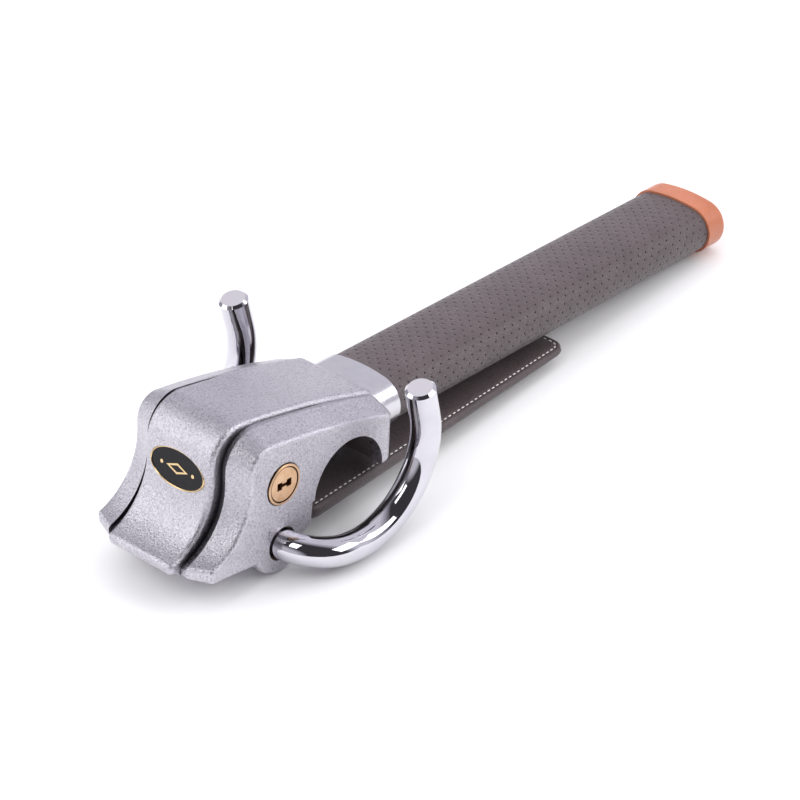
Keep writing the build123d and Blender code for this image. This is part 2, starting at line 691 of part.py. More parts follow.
def pad_shape(inset):
    """Pad with a round front end about the hinge rod, thinner and narrower towards the far
    end, drawn smaller by the inset."""
    half_thickness = pad_thickness / 2 - inset
    root = pad_root_half_width - inset
    end = pad_end_half_width - inset
    far_x = pad_length - inset
    pad_plane = Plane(
        origin=(pad_hinge_x, 0, pad_hinge_z),
        x_dir=(cos(radians(pad_rise)), 0, sin(radians(pad_rise))),
        z_dir=(-sin(radians(pad_rise)), 0, cos(radians(pad_rise))),
    )
    side_plane = Plane(origin=pad_plane.origin, x_dir=pad_plane.x_dir, z_dir=(0, -1, 0))
    with BuildPart() as shape:
        with BuildSketch(pad_plane.offset(-half_thickness)) as plan:
            Polygon((-half_thickness, -root), (far_x, -end), (far_x, end), (-half_thickness, root), align=None)
            fillet(plan.vertices(), pad_corner - inset)
        extrude(amount=2 * half_thickness)
        with BuildSketch(side_plane.offset(-root)):
            Circle(half_thickness)
            Polygon(
                (0, -half_thickness), (far_x, half_thickness - pad_end_thickness + 2 * inset),
                (far_x, half_thickness), (0, half_thickness), align=None,
            )
        extrude(amount=2 * root, mode=Mode.INTERSECT)
        for side in (-1, 1):
            slot_half_width = ear_thickness / 2 + ear_gap + inset
            with BuildSketch(side_plane.offset(slot_half_width - side * ear_y)):
                with Locations((ear_radius + ear_gap + inset, 0)):
                    Rectangle(12, 3 * pad_thickness, align=(Align.MAX, Align.CENTER))
            extrude(amount=-2 * slot_half_width, mode=Mode.SUBTRACT)
    return shape.part


with BuildPart() as pad_core:
    add(pad_shape(pad_leather_thickness))
    with BuildSketch(Plane.XZ.offset(-rod_half_length - 0.2)):
        with Locations((pad_hinge_x, pad_hinge_z)):
            Circle(rod_radius + running_gap)
    extrude(amount=2 * rod_half_length + 0.4, mode=Mode.SUBTRACT)

with BuildPart() as pad_cover:
    add(pad_shape(0))
    add(pad_shape(pad_leather_thickness), mode=Mode.SUBTRACT)
    with BuildSketch(Plane.XZ.offset(-rod_half_length - 0.2)):
        with Locations((pad_hinge_x, pad_hinge_z)):
            Circle(rod_radius + cover_rod_gap)
    extrude(amount=2 * rod_half_length + 0.4, mode=Mode.SUBTRACT)

# ---- handle: steel tube on the cast tongue, foam, leather, collar and end cap ----


def tube_section(plane, shrink=0.0):
    """Flat oval of the steel tube, outside size less the shrink all round."""
    half_height = tube_half_height - shrink
    with BuildSketch(plane) as section:
        RectangleRounded(2 * (tube_half_width - shrink), 2 * half_height, half_height - 0.05)
    return section.sketch


with BuildPart() as handle_tube:
    extrude(tube_section(Plane.YZ.offset(head_rear_x)), amount=handle_length - head_rear_x)
    extrude(tube_section(Plane.YZ.offset(head_rear_x), tube_wall), amount=handle_length - head_rear_x,
            mode=Mode.SUBTRACT)
    with BuildSketch(Plane.XY.offset(-tube_half_height)):
        with Locations((handle_pin_x, 0)):
            with GridLocations(0, handle_pin_spacing, 1, 2):
                Circle(handle_pin_radius)
    extrude(amount=2 * tube_half_height, mode=Mode.SUBTRACT)

with BuildPart() as handle_pins:
    with BuildSketch(Plane.XY.offset(-tube_half_height)):
        with Locations((handle_pin_x, 0)):
            with GridLocations(0, handle_pin_spacing, 1, 2):
                Circle(handle_pin_radius)
    extrude(amount=2 * tube_half_height)

with BuildPart() as handle_collar:
    extrude(grip_section(-collar_overhang, Plane.YZ.offset(head_rear_x)), amount=-head_rear_x)
    chamfer(handle_collar.faces().sort_by(Axis.X)[-1].edges(), 0.6)
    extrude(tube_section(Plane.YZ.offset(head_rear_x)), amount=-head_rear_x, mode=Mode.SUBTRACT)

with BuildPart() as foam_sleeve:
    extrude(grip_section(leather_thickness, Plane.YZ), amount=handle_length)
    extrude(tube_section(Plane.YZ), amount=handle_length, mode=Mode.SUBTRACT)

with BuildPart() as leather_sleeve:
    extrude(grip_section(0, Plane.YZ), amount=handle_length)
    extrude(grip_section(leather_thickness, Plane.YZ), amount=handle_length, mode=Mode.SUBTRACT)

with BuildPart() as end_cap:
    extrude(grip_section(-cap_overhang, Plane.YZ.offset(cap_start_x)), amount=cap_end_x - cap_start_x)
    fillet(end_cap.faces().sort_by(Axis.X)[-1].edges(), cap_rounding)
    extrude(grip_section(0, Plane.YZ.offset(cap_start_x)), amount=handle_length - cap_start_x,
            mode=Mode.SUBTRACT)

with BuildPart() as tube_plug:
    extrude(tube_section(Plane.YZ.offset(handle_length - plug_length), tube_wall), amount=plug_length)
    with BuildSketch(Plane.YZ.offset(handle_length - plug_length)):
        with GridLocations(11, 0, 3, 1):
            RectangleRounded(8.5, 9.0, 1.5)
    extrude(amount=plug_length - 3, mode=Mode.SUBTRACT)

# ---- resting attitude: the boss and the end cap both touch the ground ----

cap_lower_x = cap_end_x - cap_rounding
cap_lower_z = -grip_half_height - cap_overhang + cap_rounding
support_distance = hypot(cap_lower_x - boss_x, cap_lower_z - boss_z)
resting_tilt = (
    degrees(atan2(cap_lower_z - boss_z, cap_lower_x - boss_x))
    + degrees(asin((boss_radius - cap_rounding) / support_distance))
)
tilted = Rot(0, resting_tilt, 0)
front = (tilted * head_housing.part).bounding_box().min
rear = (tilted * end_cap.part).bounding_box().max
resting = Pos(-(front.X + rear.X) / 2, 0, -front.Z) * tilted

pieces = {
    "head_housing": head_housing,
    "bottom_cover": bottom_cover,
    "cover_screws": cover_screws,
    "badge_bezel": badge_bezel,
    "badge_plate": badge_plate,
    "badge_inlay": badge_inlay,
    "hook_near": hook_near,
    "hook_far": hook_far,
    "locking_hub": locking_hub,
    "hub_pins": hub_pins,
    "shaft_bush_near": shaft_bush_near,
    "shaft_bush_far": shaft_bush_far,
    "thrust_washers": thrust_washers,
    "cylinder_barrel": cylinder_barrel,
    "barrel_clip": barrel_clip,
    "lock_plug": lock_plug,
    "plug_clip": plug_clip,
    "key_discs": key_discs,
    "plug_cam": plug_cam,
    "cam_screw": cam_screw,
    "lock_bolt": lock_bolt,
    "rim_liner": rim_liner,
    "pad_bracket": pad_bracket,
    "bracket_screws": bracket_screws,
    "pad_rod": pad_rod,
    "pad_core": pad_core,
    "pad_cover": pad_cover,
    "handle_tube": handle_tube,
    "handle_pins": handle_pins,
    "handle_collar": handle_collar,
    "foam_sleeve": foam_sleeve,
    "leather_sleeve": leather_sleeve,
    "tube_plug": tube_plug,
    "end_cap": end_cap,
}

os.makedirs("parts", exist_ok=True)
for name, piece in pieces.items():
    piece.part = resting * piece.part
    piece.part.label = name
    export_step(piece.part, f"parts/{name}.step")
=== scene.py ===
"""Looks of the steering wheel lock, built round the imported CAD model.

The leather on the handle and the soft pad are made here in place of their CAD solids.
Every other piece is a CAD node that gets its material here.
"""

import json
import math

import bpy
from mathutils import Matrix, Vector
from mathutils.geometry import delaunay_2d_cdt


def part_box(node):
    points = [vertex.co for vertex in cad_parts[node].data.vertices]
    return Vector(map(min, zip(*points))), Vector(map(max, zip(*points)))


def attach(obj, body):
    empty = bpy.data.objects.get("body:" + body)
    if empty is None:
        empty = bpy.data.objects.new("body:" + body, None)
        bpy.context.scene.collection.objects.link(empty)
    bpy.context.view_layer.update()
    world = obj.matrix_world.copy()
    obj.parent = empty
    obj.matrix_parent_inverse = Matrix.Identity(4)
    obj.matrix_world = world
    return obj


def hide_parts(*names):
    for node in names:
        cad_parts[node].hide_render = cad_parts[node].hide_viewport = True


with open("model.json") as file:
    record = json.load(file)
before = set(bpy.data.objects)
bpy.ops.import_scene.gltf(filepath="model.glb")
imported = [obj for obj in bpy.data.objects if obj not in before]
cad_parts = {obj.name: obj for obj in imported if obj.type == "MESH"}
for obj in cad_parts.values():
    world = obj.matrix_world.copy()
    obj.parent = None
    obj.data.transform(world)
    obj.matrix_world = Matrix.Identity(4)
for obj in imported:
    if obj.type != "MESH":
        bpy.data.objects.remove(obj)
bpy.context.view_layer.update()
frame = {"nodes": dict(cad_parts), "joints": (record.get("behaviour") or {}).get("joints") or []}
nodes = frame["nodes"]
joints = {joint["name"]: joint for joint in frame["joints"]}

# ---- where the lock stands: its own axes, with x along the handle and z up from it ----

lock_z = -Vector(joints["bolt_slide"]["axis"])
lock_x = Vector((lock_z.z, 0, -lock_z.x))
pad_pivot = Vector(joints["pad_swing"]["pos_m"])
pad_pivot_in_lock = (-0.066, -0.0241)
lock_origin = pad_pivot - lock_x * pad_pivot_in_lock[0] - lock_z * pad_pivot_in_lock[1]


def in_row(x, y, z):
    """A point given along the lock's own axes, in the row frame."""
    return lock_origin + lock_x * x + Vector((0, y, 0)) + lock_z * z


# ---- camera ----

camera_azimuth = math.radians(-48.254)
camera_elevation = math.radians(34.286)
camera_roll = math.radians(-0.929)
camera_distance = 1.4388
camera_target = Vector((-0.026885, 0, 0.013379))
camera_lens = 138.74

back = Vector((
    math.sin(camera_azimuth) * math.cos(camera_elevation),
    -math.cos(camera_azimuth) * math.cos(camera_elevation),
    math.sin(camera_elevation),
))
level_right = Vector((math.cos(camera_azimuth), math.sin(camera_azimuth), 0))
level_up = back.cross(level_right)
right = math.cos(camera_roll) * level_right + math.sin(camera_roll) * level_up
up = -math.sin(camera_roll) * level_right + math.cos(camera_roll) * level_up
camera = bpy.data.objects.new("camera", bpy.data.cameras.new("camera"))
camera.matrix_world = Matrix.Translation(camera_target + back * camera_distance) @ Matrix(
    (right, up, back)).transposed().to_4x4()
camera.data.sensor_width = 36
camera.data.lens = camera_lens
bpy.context.scene.collection.objects.link(camera)
bpy.context.scene.camera = camera


# ---- building blocks for materials ----

class Nodes:
    """A node tree whose nodes are joined up with short calls."""

    def __init__(self, tree):
        self.tree = tree
        self.coordinates = self.node("ShaderNodeTexCoord")

    def node(self, kind, **settings):
        """A new node with its settings and the values or links of its inputs."""
        made = self.tree.nodes.new(kind)
        for name, value in settings.items():
            if name in made.inputs:
                self.put(value, made.inputs[name])
            else:
                setattr(made, name, value)
        return made

    def put(self, value, socket):
        if isinstance(value, bpy.types.NodeSocket):
            self.tree.links.new(value, socket)
        else:
            socket.default_value = value

    def math(self, operation, a, b=0.0, c=0.0):
        made = self.node("ShaderNodeMath", operation=operation)
        for socket, value in zip(made.inputs, (a, b, c)):
            self.put(value, socket)
        return made.outputs["Value"]

    def span(self, value, low, high, out_low=0.0, out_high=1.0):
        """The value taken from one range to another, held at the ends."""
        made = self.node("ShaderNodeMapRange")
        for name, given in (("Value", value), ("From Min", low), ("From Max", high),
                            ("To Min", out_low), ("To Max", out_high)):
            self.put(given, made.inputs[name])
        return made.outputs["Result"]

    def mix(self, share, first, second):
        made = self.node("ShaderNodeMix", data_type="RGBA")
        self.put(share, made.inputs["Factor"])
        for name, value in (("A", first), ("B", second)):
            socket = [s for s in made.inputs if s.name == name and s.type == "RGBA"][0]
            self.put(value if isinstance(value, bpy.types.NodeSocket) else (*value, 1), socket)
        return [s for s in made.outputs if s.type == "RGBA"][0]


class Shader(Nodes):
    """A surface material. Its coordinates are metres."""

    def __init__(self, name):
        self.material = bpy.data.materials.new(name)
        self.material.use_nodes = True
        super().__init__(self.material.node_tree)
        self.bsdf = self.tree.nodes["Principled BSDF"]
        self.place = self.coordinates.outputs["Object"]

    def set(self, **values):
        """Values or links for the surface shader, by input name with _ for a space."""
        for name, value in values.items():
            self.put(value, self.bsdf.inputs[name.replace("_", " ")])
        return self

    def noise(self, scale, detail=3.0, roughness=0.6, place=None):
        made = self.node("ShaderNodeTexNoise", Scale=scale, Detail=detail, Roughness=roughness,
                         Vector=place or self.place)
        return made.outputs["Fac"]

    def stretched(self, *factors):
        """The coordinates scaled along the three axes."""
        made = self.node("ShaderNodeMapping", Vector=self.place)
        made.inputs["Scale"].default_value = factors
        return made.outputs["Vector"]

    def cells(self, scale, feature="F1", place=None):
        made = self.node("ShaderNodeTexVoronoi", feature=feature, Vector=place or self.place)
        made.inputs["Scale"].default_value = scale
        return made.outputs["Distance"]

    def bump(self, *layers):
        """Heights in metres laid over each other: (height, depth) for each layer."""
        normal = None
        for height, depth in layers:
            made = self.node("ShaderNodeBump", Height=height, Distance=depth)
            made.inputs["Strength"].default_value = 1.0
            if normal is not None:
                self.put(normal, made.inputs["Normal"])
            normal = made.outputs["Normal"]
        self.put(normal, self.bsdf.inputs["Normal"])
        return self

    def occlusion(self, reach):
        """Occlusion share: 1 where the surface is open, falling to 0 in a tight crease; used to paint shade
        into creases.
        """
        made = self.node("ShaderNodeAmbientOcclusion", samples=8, only_local=True, Distance=reach)
        return made.outputs["AO"]

    def normal_along(self, x, y, z):
        """How far the surface faces along a direction of the row frame, from -1 to 1."""
        made = self.node("ShaderNodeVectorMath", operation="DOT_PRODUCT")
        self.put(self.coordinates.outputs["Normal"], made.inputs[0])
        made.inputs[1].default_value = (x, y, z)
        return made.outputs["Value"]


def give(shader, *names):
    """Puts a material on CAD nodes or made objects."""
    for name in names:
        thing = nodes.get(name) or bpy.data.objects[name]
        thing.data.materials.clear()
        thing.data.materials.append(shader.material)


# ---- metals ----

def blasted_silver():
    """Cast alloy, sand blasted to a grainy satin, with painted shade darkening its creases."""
    s = Shader("blasted_silver")
    speckle = s.noise(1150, 2, 0.7)
    cloud = s.noise(38, 3)
    open_to_air = s.occlusion(0.012)
    tone = s.math("ADD", s.span(speckle, 0.35, 0.65, 0.0, 0.8), s.span(cloud, 0.3, 0.7, 0.0, 0.2))
    metal = s.mix(tone, (0.40, 0.39, 0.44), (0.73, 0.71, 0.76))
    s.set(
        # Painted shade: the colour falls to near-black in tight creases, where the occlusion share drops.
        Base_Color=s.mix(s.span(open_to_air, 0.42, 0.84), (0.085, 0.08, 0.09), metal),
        Metallic=1.0,
        Roughness=s.span(speckle, 0.3, 0.7, 0.26, 0.40),
    )
    return s.bump((speckle, 0.00042), (s.noise(3200, 2), 0.00003))


def cut_end(hook):
    """Direction that the flat upper end of a hook faces."""
    tip_depth = 0.008
    mesh = nodes[hook].data
    top = max(vertex.co.z for vertex in mesh.vertices)
    areas = {}
    for polygon in mesh.polygons:
        if polygon.center.z > top - tip_depth:
            facing = tuple(round(value, 2) for value in polygon.normal)
            areas[facing] = areas.get(facing, 0.0) + polygon.area
    return max(areas, key=areas.get)


def polished_chrome(hook):
    """Chrome plate with faint smears, and a brushed flat on the bar's cut end."""
    s = Shader("chrome_" + hook)
    smear = s.noise(60, 4, 0.6)
    flat = s.span(s.normal_along(*cut_end(hook)), 0.985, 0.995)
    polished = s.mix(s.span(smear, 0.3, 0.7), (0.60, 0.59, 0.64), (0.67, 0.66, 0.70))
    s.set(
        Base_Color=s.mix(flat, polished, (0.92, 0.90, 0.92)),
        Metallic=1.0,
        Roughness=s.math("ADD", s.span(smear, 0.3, 0.75, 0.03, 0.08), s.math("MULTIPLY", flat, 0.34)),
    )
    return s.bump((s.noise(25, 1), 0.00004))


def plain_metal(name, dark, light, roughness, scale=180):
    """Machined or plated metal with slight changes of tone and fine marks."""
    s = Shader(name)
    cloud = s.noise(scale, 4)
    marks = s.noise(1.0, 3, place=s.stretched(4000, 600, 600))
    s.set(
        Base_Color=s.mix(cloud, dark, light),
        Metallic=1.0,
        Roughness=s.span(cloud, 0.3, 0.7, roughness - 0.06, roughness + 0.06),
    )
    return s.bump((marks, 0.00002))


def brushed_brass():
    """Tan brass, turned on a lathe about the key's axis, with painted shade in thin rings at the rims of
    the plug and barrel.
    """
    s = Shader("brushed_brass")
    centre = Vector(joints["key_turn"]["pos_m"])
    away = s.node("ShaderNodeVectorMath", operation="DISTANCE")
    flat = s.node("ShaderNodeVectorMath", operation="MULTIPLY")
    s.put(s.place, flat.inputs[0])
    flat.inputs[1].default_value = (1, 0, 1)
    s.put(flat.outputs["Vector"], away.inputs[0])
    away.inputs[1].default_value = (centre.x, 0, centre.z)
    ring = s.node("ShaderNodeTexNoise", noise_dimensions="1D", Detail=3.0)
    s.put(s.math("MULTIPLY", away.outputs["Value"], 5200), ring.inputs["W"])
    ring.inputs["Scale"].default_value = 1.0
    cloud = s.noise(160, 3)
    clean = s.mix(s.span(cloud, 0.3, 0.7), (0.60, 0.37, 0.21), (0.74, 0.50, 0.32))
    # Painted shade: thin near-black rings at the rims of the plug and the barrel, standing for the shade in
    # the gaps round them.
    rim_shade = 0.0
    for node, width in (("lock_plug", 0.00042), ("cylinder_barrel", 0.00030)):
        low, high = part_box(node)
        from_rim = s.math("ABSOLUTE", s.math("SUBTRACT", away.outputs["Value"], (high[0] - low[0]) / 2))
        rim_shade = s.math("MAXIMUM", rim_shade, s.span(from_rim, width / 2, width, 1.0, 0.0))
    s.set(
        Base_Color=s.mix(rim_shade, clean, (0.05, 0.03, 0.018)),
        Metallic=1.0,
        Roughness=s.span(ring.outputs["Fac"], 0.3, 0.7, 0.26, 0.36),
    )
    return s.bump((ring.outputs["Fac"], 0.00002))


def black_enamel():
    """Black enamel, satin and very slightly uneven."""
    s = Shader("badge_enamel")
    cloud = s.noise(220, 2)
    s.set(
        Base_Color=s.mix(cloud, (0.006, 0.006, 0.008), (0.012, 0.012, 0.015)),
        Roughness=s.span(cloud, 0.3, 0.7, 0.16, 0.26),
        Specular_IOR_Level=0.2,
    )
    return s.bump((cloud, 0.00003))


# ---- leather, plastics and rubber ----

def leather(name, dark, light, roughness, sheen, cell=950):
    """Fine-grained leather: pebbles with creases between them, and a soft sheen."""
    s = Shader(name)
    wander = s.noise(60, 3)
    pebbles = s.cells(cell)
    creases = s.cells(cell * 0.55, feature="DISTANCE_TO_EDGE")
    crease_depth = s.span(creases, 0.0, 0.12)
    fine = s.noise(2400, 2)
    grain = s.span(fine, 0.38, 0.62, 0.55, 1.0)
    tone = s.math("MULTIPLY", s.span(wander, 0.3, 0.7, 0.45, 0.95), s.span(crease_depth, 0, 1, 0.55, 1.0))
    tone = s.math("MULTIPLY", tone, grain)
    s.set(
        Base_Color=s.mix(tone, dark, light),
        Roughness=s.math("ADD", s.span(fine, 0.3, 0.7, roughness - 0.06, roughness + 0.06),
                         s.span(crease_depth, 0, 1, 0.08, 0.0)),
        Sheen_Weight=sheen,
        Sheen_Roughness=0.4,
    )
    return s.bump((pebbles, 0.00014), (crease_depth, 0.00008), (fine, 0.00004))


def moulded_plastic(name, dark, light, roughness, subsurface=0.0):
    """Moulded plastic with a fine spark-eroded texture."""
    s = Shader(name)
    cloud = s.noise(45, 3)
    fine = s.noise(1900, 2)
    s.set(
        Base_Color=s.mix(s.span(cloud, 0.3, 0.7), dark, light),
        Roughness=s.span(fine, 0.3, 0.7, roughness - 0.05, roughness + 0.07),
    )
    if subsurface:
        s.set(Subsurface_Weight=subsurface, Subsurface_Radius=(0.004, 0.002, 0.001))
    return s.bump((fine, 0.00004), (cloud, 0.0001))


def foam(name, dark, light):
    """Open-celled foam."""
    s = Shader(name)
    holes = s.cells(900)
    s.set(Base_Color=s.mix(s.span(holes, 0.1, 0.6), dark, light), Roughness=s.span(holes, 0, 1, 0.8, 1.0))
    return s.bump((holes, 0.0005))


silver = blasted_silver()
give(silver, "head_housing", "bottom_cover")
give(plain_metal("satin_collar", (0.56, 0.55, 0.59), (0.70, 0.69, 0.72), 0.22), "handle_collar")
for hook in ("hook_near", "hook_far"):
    give(polished_chrome(hook), hook)
give(plain_metal("plated_steel", (0.62, 0.63, 0.65), (0.76, 0.77, 0.79), 0.26),
     "thrust_washers", "barrel_clip", "plug_clip", "pad_rod", "hub_pins", "key_discs", "plug_cam")
give(plain_metal("black_steel", (0.03, 0.03, 0.035), (0.06, 0.06, 0.065), 0.38),
     "cover_screws", "bracket_screws", "pad_bracket", "cam_screw", "handle_pins")
give(plain_metal("hardened_steel", (0.42, 0.42, 0.44), (0.55, 0.55, 0.57), 0.3), "locking_hub", "lock_bolt")
give(plain_metal("badge_gold", (0.62, 0.44, 0.22), (0.80, 0.62, 0.36), 0.24), "badge_bezel", "badge_inlay")
give(black_enamel(), "badge_plate")
give(brushed_brass(), "cylinder_barrel", "lock_plug")
give(plain_metal("bush_bronze", (0.42, 0.26, 0.12), (0.58, 0.38, 0.18), 0.34),
     "shaft_bush_near", "shaft_bush_far")
give(plain_metal("tube_steel", (0.45, 0.45, 0.47), (0.58, 0.58, 0.60), 0.36), "handle_tube")
give(moulded_plastic("liner_rubber", (0.095, 0.080, 0.082), (0.125, 0.106, 0.108), 0.62), "rim_liner")
give(moulded_plastic("black_plastic", (0.012, 0.012, 0.013), (0.022, 0.022, 0.024), 0.45), "tube_plug")
give(moulded_plastic("orange_plastic", (0.43, 0.130, 0.060), (0.52, 0.18, 0.095), 0.30, 0.1), "end_cap")
give(foam("grip_foam", (0.02, 0.02, 0.022), (0.06, 0.06, 0.065)), "foam_sleeve")
give(foam("pad_foam", (0.35, 0.33, 0.25), (0.62, 0.58, 0.46)), "pad_core")

grip_leather = leather("grip_leather", (0.052, 0.038, 0.041), (0.118, 0.092, 0.097), 0.40, 0.12)
pad_leather = leather("pad_leather", (0.046, 0.034, 0.036), (0.096, 0.071, 0.074), 0.40, 0.08, cell=1300)
# Painted shade: near-black floors and lower walls of the holes, standing for the shade deep inside them.
hole_dark = moulded_plastic("perforation", (0.004, 0.003, 0.003), (0.010, 0.008, 0.008), 0.8)
thread = moulded_plastic("thread", (0.78, 0.75, 0.73), (0.90, 0.88, 0.86), 0.6)


# ---- meshes made here ----

def new_piece(name, points, faces, body, materials, face_materials=None):
    """A mesh in the row frame that rides on a body."""
    mesh = bpy.data.meshes.new(name)
    mesh.from_pydata([tuple(p) for p in points], [], faces)
    for shader in materials:
        mesh.materials.append(shader.material)
    if face_materials is not None:
        mesh.polygons.foreach_set("material_index", face_materials)
    mesh.polygons.foreach_set("use_smooth", [True] * len(faces))
    mesh.update()
    made = bpy.data.objects.new(name, mesh)
    bpy.context.scene.collection.objects.link(made)
    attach(made, body)
    return made


# Outline of the handle's section, as in the CAD model.
grip_half_width = 0.0232
grip_half_height = 0.0124
grip_crown = 0.080
grip_end = ((grip_crown**2 - grip_half_width**2 - (grip_crown - grip_half_height) ** 2)
            / (2 * (grip_crown - grip_half_width)))
grip_meet = grip_crown * (grip_half_width - grip_end) / (grip_crown - grip_end)
crown_half_angle = math.asin(grip_meet / grip_crown)
crown_length = 2 * crown_half_angle * grip_crown
end_length = (math.pi - 2 * crown_half_angle) * grip_end
girth = 2 * (crown_length + end_length)
leather_thickness = 0.0013


def on_grip(along, round_it, inset=0.0):
    """A point of the handle's surface. round_it runs up the near side, over the top and back."""
    s = (round_it + end_length / 2) % girth
    flip = 1
    if s >= girth / 2:
        s -= girth / 2
        flip = -1
    if s < end_length:
        angle = (s / end_length - 0.5) * (math.pi - 2 * crown_half_angle)
        radius = grip_end - inset
        y = -(grip_half_width - grip_end) - radius * math.cos(angle)
        z = radius * math.sin(angle)
    else:
        angle = (s - end_length) / grip_crown - crown_half_angle
        radius = grip_crown - inset
        y = radius * math.sin(angle)
        z = grip_half_height - grip_crown + radius * math.cos(angle)
    return in_row(along, y * flip, z * flip)


sleeve_length = 0.240
hole_rows = 36
row_height = girth / hole_rows
first_row = 0.0056 - row_height / 2
# Holes of neighbouring rows are staggered, so a column is half of the spacing in a row.
hole_spacing = 0.0057501
column_width = hole_spacing / 2
first_column = 0.0005 - column_width / 2
most_columns = 84
narrowest_column = 0.4 * column_width
first_hole_at = 0.001
last_hole_at = sleeve_length - 0.002
hole_radius = 0.00040
hole_depth = 0.0009
# Rings of a hole from its rounded mouth to its floor: share of the radius, depth.
hole_rings = ((1.25, 0.0), (1.0, 0.00012), (0.9, hole_depth))
hole_turns = [math.radians(225 + 45 * k) for k in range(8)]
leather_face, hole_face = 0, 1


class SleeveMesh:
    """Points and faces on the handle's surface. Faces that meet share their points."""

    def __init__(self):
        self.points, self.faces, self.kinds = [], [], []
        self.numbers = {}

    def vertex(self, along, round_it, inset=0.0):
        microns = 1e6
        key = (round(along * microns), round((round_it % girth) * microns) % round(girth * microns),
               round(inset * microns))
        if key not in self.numbers:
            self.numbers[key] = len(self.points)
            self.points.append(on_grip(along, round_it, inset))
        return self.numbers[key]

    def face(self, corners, kind=leather_face):
        self.faces.append(corners)
        self.kinds.append(kind)

    def plain_cell(self, outer, along, round_it):
        """A cell without a hole, as four faces round its middle."""
        centre = self.vertex(along, round_it)
        for k in range(0, 8, 2):
            self.face([outer[k - 1], outer[k], outer[k + 1], centre])

    def holed_cell(self, outer, along, round_it):
        """A cell with a blind hole in its middle."""
        mouth, throat, floor_ring = [
            [self.vertex(along + hole_radius * share * math.cos(turn),
                         round_it + hole_radius * share * math.sin(turn), depth) for turn in hole_turns]
            for share, depth in hole_rings
        ]
        for k in range(8):
            n = (k + 1) % 8
            self.face([outer[k], outer[n], mouth[n], mouth[k]])
            self.face([mouth[k], mouth[n], throat[n], throat[k]])
            # the throat and floor of each hole take the near-black painted shade
            self.face([throat[k], throat[n], floor_ring[n], floor_ring[k]], hole_face)
        self.face(floor_ring, hole_face)

    def outer_face(self):
        edges_x = [0.0]
        for i in range(most_columns):
            edge = first_column + column_width * (i + 1)
            if edge < sleeve_length:
                edges_x.append(edge)
        edges_x.append(sleeve_length)
        if edges_x[-1] - edges_x[-2] < narrowest_column:
            edges_x.pop(-2)
        for i, (left, right_x) in enumerate(zip(edges_x, edges_x[1:])):
            middle_x = (left + right_x) / 2
            whole = abs(right_x - left - column_width) < 1e-6
            for j in range(hole_rows):
                low = first_row + row_height * j
                high = low + row_height
                middle = (low + high) / 2
                ring = [(left, low), (middle_x, low), (right_x, low), (right_x, middle),
                        (right_x, high), (middle_x, high), (left, high), (left, middle)]
                outer = [self.vertex(*place) for place in ring]
                holed = whole and (i + j) % 2 == 0 and first_hole_at <= middle_x <= last_hole_at
                cell = self.holed_cell if holed else self.plain_cell
                cell(outer, middle_x, middle)

    def inner_face_and_ends(self):
        count = 2 * hole_rows
        around = [first_row + row_height * j / 2 for j in range(count)]
        for end_x, turned in ((0.0, True), (sleeve_length, False)):
            outside = [self.vertex(end_x, s) for s in around]
            inside = [self.vertex(end_x, s, leather_thickness) for s in around]
            for k in range(count):
                n = (k + 1) % count
                ring = [outside[k], inside[k], inside[n], outside[n]]
                self.face(ring[::-1] if turned else ring)
        for k in range(count):
            here, following = around[k], around[(k + 1) % count]
            self.face([self.vertex(end_x, s, leather_thickness) for end_x, s in (
                (0.0, following), (sleeve_length, following), (sleeve_length, here), (0.0, here))])


def perforated_sleeve():
    """The handle's leather: a closed sleeve with staggered rows of small blind holes."""
    mesh = SleeveMesh()
    mesh.outer_face()
    mesh.inner_face_and_ends()
    return new_piece("grip_leather_sleeve", mesh.points, mesh.faces, "head",
                     [grip_leather, hole_dark], mesh.kinds)


sleeve = perforated_sleeve()
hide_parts("leather_sleeve")

# ---- soft pad ----

pad_rise = math.radians(2.0)
pad_thickness = 0.0075
pad_end_thickness = 0.0046
pad_length = 0.186
pad_root_half_width = 0.0324
pad_end_half_width = 0.0268
pad_corner = 0.008
pad_front = -pad_thickness / 2
pad_slope = (pad_root_half_width - pad_end_half_width) / (pad_length + pad_thickness / 2)
pad_lean = math.atan(pad_slope)
least_corner = 0.0015
ear_y = 0.020
slot_half_width = 0.0020
slot_back = 0.0035
stitch_inset = 0.0031
pad_insets = (0.0, 0.00025, 0.0007, 0.0013, 0.0020, 0.0026, 0.0031, 0.0036, 0.0042, 0.0052)
slot_insets = pad_insets[:6]
slot_overrun = 0.001
slot_steps = 10
# The points inside the rings lie in staggered rows that reach past the outline on all sides.
inner_spacing = 0.0022
inner_margin = 0.0012
inner_start = -0.003
inner_columns = int(pad_length / inner_spacing) + 4
inner_half_rows = 15


def on_pad(along, across, above):
    """A point of the pad, measured from its hinge rod along its own slope."""
    cosine, sine = math.cos(pad_rise), math.sin(pad_rise)
    base = Vector((pad_pivot_in_lock[0], 0, pad_pivot_in_lock[1]))
    return in_row(base.x + along * cosine - above * sine, across, base.z + along * sine + above * cosine)


def rounded_corner(before, here, after, radius):
    """Where a corner's arc starts and ends, its centre, and how far it turns."""
    into, out_of = (before - here).normalized(), (after - here).normalized()
    half = into.angle(out_of) / 2
    reach = radius / math.tan(half)
    centre = here + (into + out_of).normalized() * (radius / math.sin(half))
    return here + into * reach, here + out_of * reach, centre, math.pi - 2 * half


